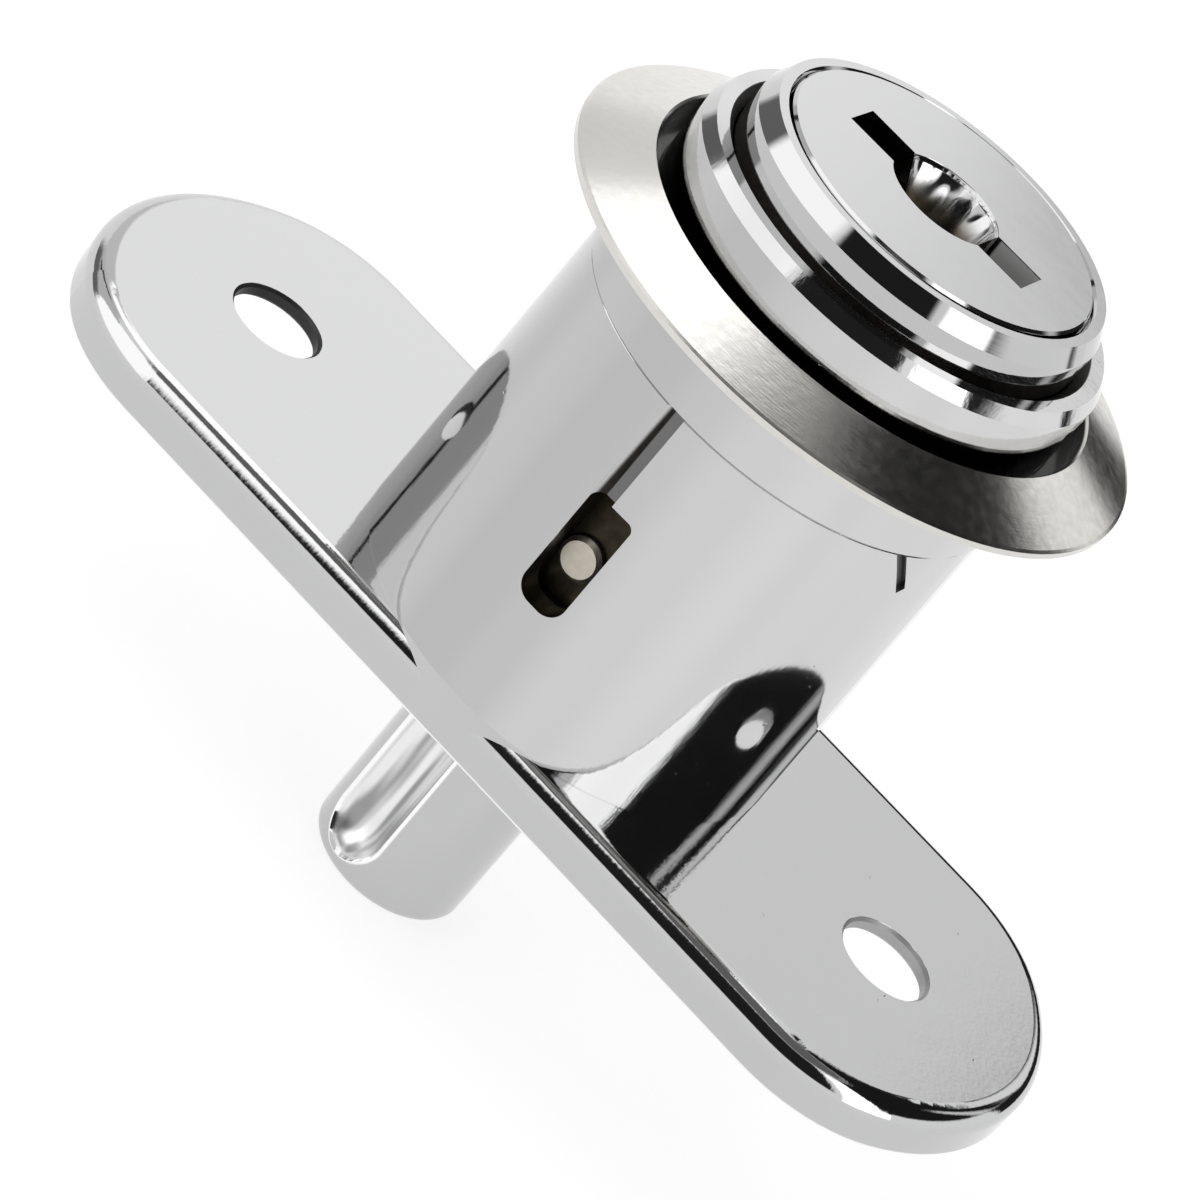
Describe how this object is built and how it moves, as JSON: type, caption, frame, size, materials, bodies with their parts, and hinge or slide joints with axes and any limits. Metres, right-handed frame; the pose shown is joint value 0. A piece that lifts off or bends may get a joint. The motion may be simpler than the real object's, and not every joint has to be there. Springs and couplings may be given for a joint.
{
  "type": "push-in cylinder lock",
  "caption": "Push-in cylinder lock for a sliding door: screw flange, tube with rosette, keyed push barrel, sprung detent and round bolt.",
  "frame": {"origin": "on the lock axis, on the flange's back face", "axes": "+Z along the lock axis towards the key face, X along the flange; the detent's slot faces -Y"},
  "size_m": [0.0572, 0.0288, 0.0432],
  "materials": {
    "chrome_cast": "mirror chrome plate over die-cast zinc",
    "chrome_turned": "mirror chrome plate on a turned ring",
    "chrome_face": "mirror chrome plate on the flat key face",
    "satin_nickel": "satin nickel, finely brushed round the ring",
    "detent_metal": "pale nickel brass, matt",
    "raw_zinc": "bare zinc casting",
    "spring_steel": "drawn spring steel wire",
    "wafer_brass": "stamped brass sheet"
  },
  "bodies": {
    "case": {"housing": "chrome_cast", "rosette": "satin_nickel", "guide_pin": "spring_steel", "return_spring": "spring_steel"},
    "barrel": {"barrel": "chrome_turned", "bolt": "chrome_cast", "bolt_pin": "spring_steel", "detent_cap": "raw_zinc", "detent_spring": "spring_steel"},
    "detent": {"detent": "detent_metal"},
    "plug": {"key_plug": "chrome_face", "plug_clip": "spring_steel", "wafer_spring_1": "spring_steel", "wafer_spring_2": "spring_steel", "wafer_spring_3": "spring_steel", "wafer_spring_4": "spring_steel", "wafer_spring_5": "spring_steel", "wafer_spring_6": "spring_steel"},
    "wafer_1": {"wafer_1": "wafer_brass"},
    "wafer_2": {"wafer_2": "wafer_brass"},
    "wafer_3": {"wafer_3": "wafer_brass"},
    "wafer_4": {"wafer_4": "wafer_brass"},
    "wafer_5": {"wafer_5": "wafer_brass"},
    "wafer_6": {"wafer_6": "wafer_brass"}
  },
  "joints": [
    {"name": "plug_turn", "type": "hinge", "parent": "barrel", "child": "plug", "pos_m": [0, 0, 0.0299], "axis": [0, 0, -1], "range_deg": [0, 90]},
    {"name": "barrel_slide", "type": "slide", "parent": "case", "child": "barrel", "axis": [0, 0, 1], "range_m": [0, 0.008], "deforming": ["return_spring"]},
    {"name": "detent_slide", "type": "slide", "parent": "barrel", "child": "detent", "axis": [0, 1, 0], "range_m": [0, 0.0013], "deforming": ["detent_spring"]},
    {"name": "wafer_1_slide", "type": "slide", "parent": "plug", "child": "wafer_1", "axis": [-1, 0, 0], "range_m": [-0.0005, 0], "deforming": ["wafer_spring_1"]},
    {"name": "wafer_2_slide", "type": "slide", "parent": "plug", "child": "wafer_2", "axis": [1, 0, 0], "range_m": [-0.0005, 0], "deforming": ["wafer_spring_2"]},
    {"name": "wafer_3_slide", "type": "slide", "parent": "plug", "child": "wafer_3", "axis": [-1, 0, 0], "range_m": [-0.0005, 0], "deforming": ["wafer_spring_3"]},
    {"name": "wafer_4_slide", "type": "slide", "parent": "plug", "child": "wafer_4", "axis": [1, 0, 0], "range_m": [-0.0005, 0], "deforming": ["wafer_spring_4"]},
    {"name": "wafer_5_slide", "type": "slide", "parent": "plug", "child": "wafer_5", "axis": [-1, 0, 0], "range_m": [-0.0005, 0], "deforming": ["wafer_spring_5"]},
    {"name": "wafer_6_slide", "type": "slide", "parent": "plug", "child": "wafer_6", "axis": [1, 0, 0], "range_m": [-0.0005, 0], "deforming": ["wafer_spring_6"]}
  ],
  "couplings": [
    {"joint": "plug_turn", "follows": "barrel_slide", "rad_per_m": 196.35},
    {"joint": "detent_slide", "follows": "barrel_slide", "ratio": 0.1625}
  ]
}
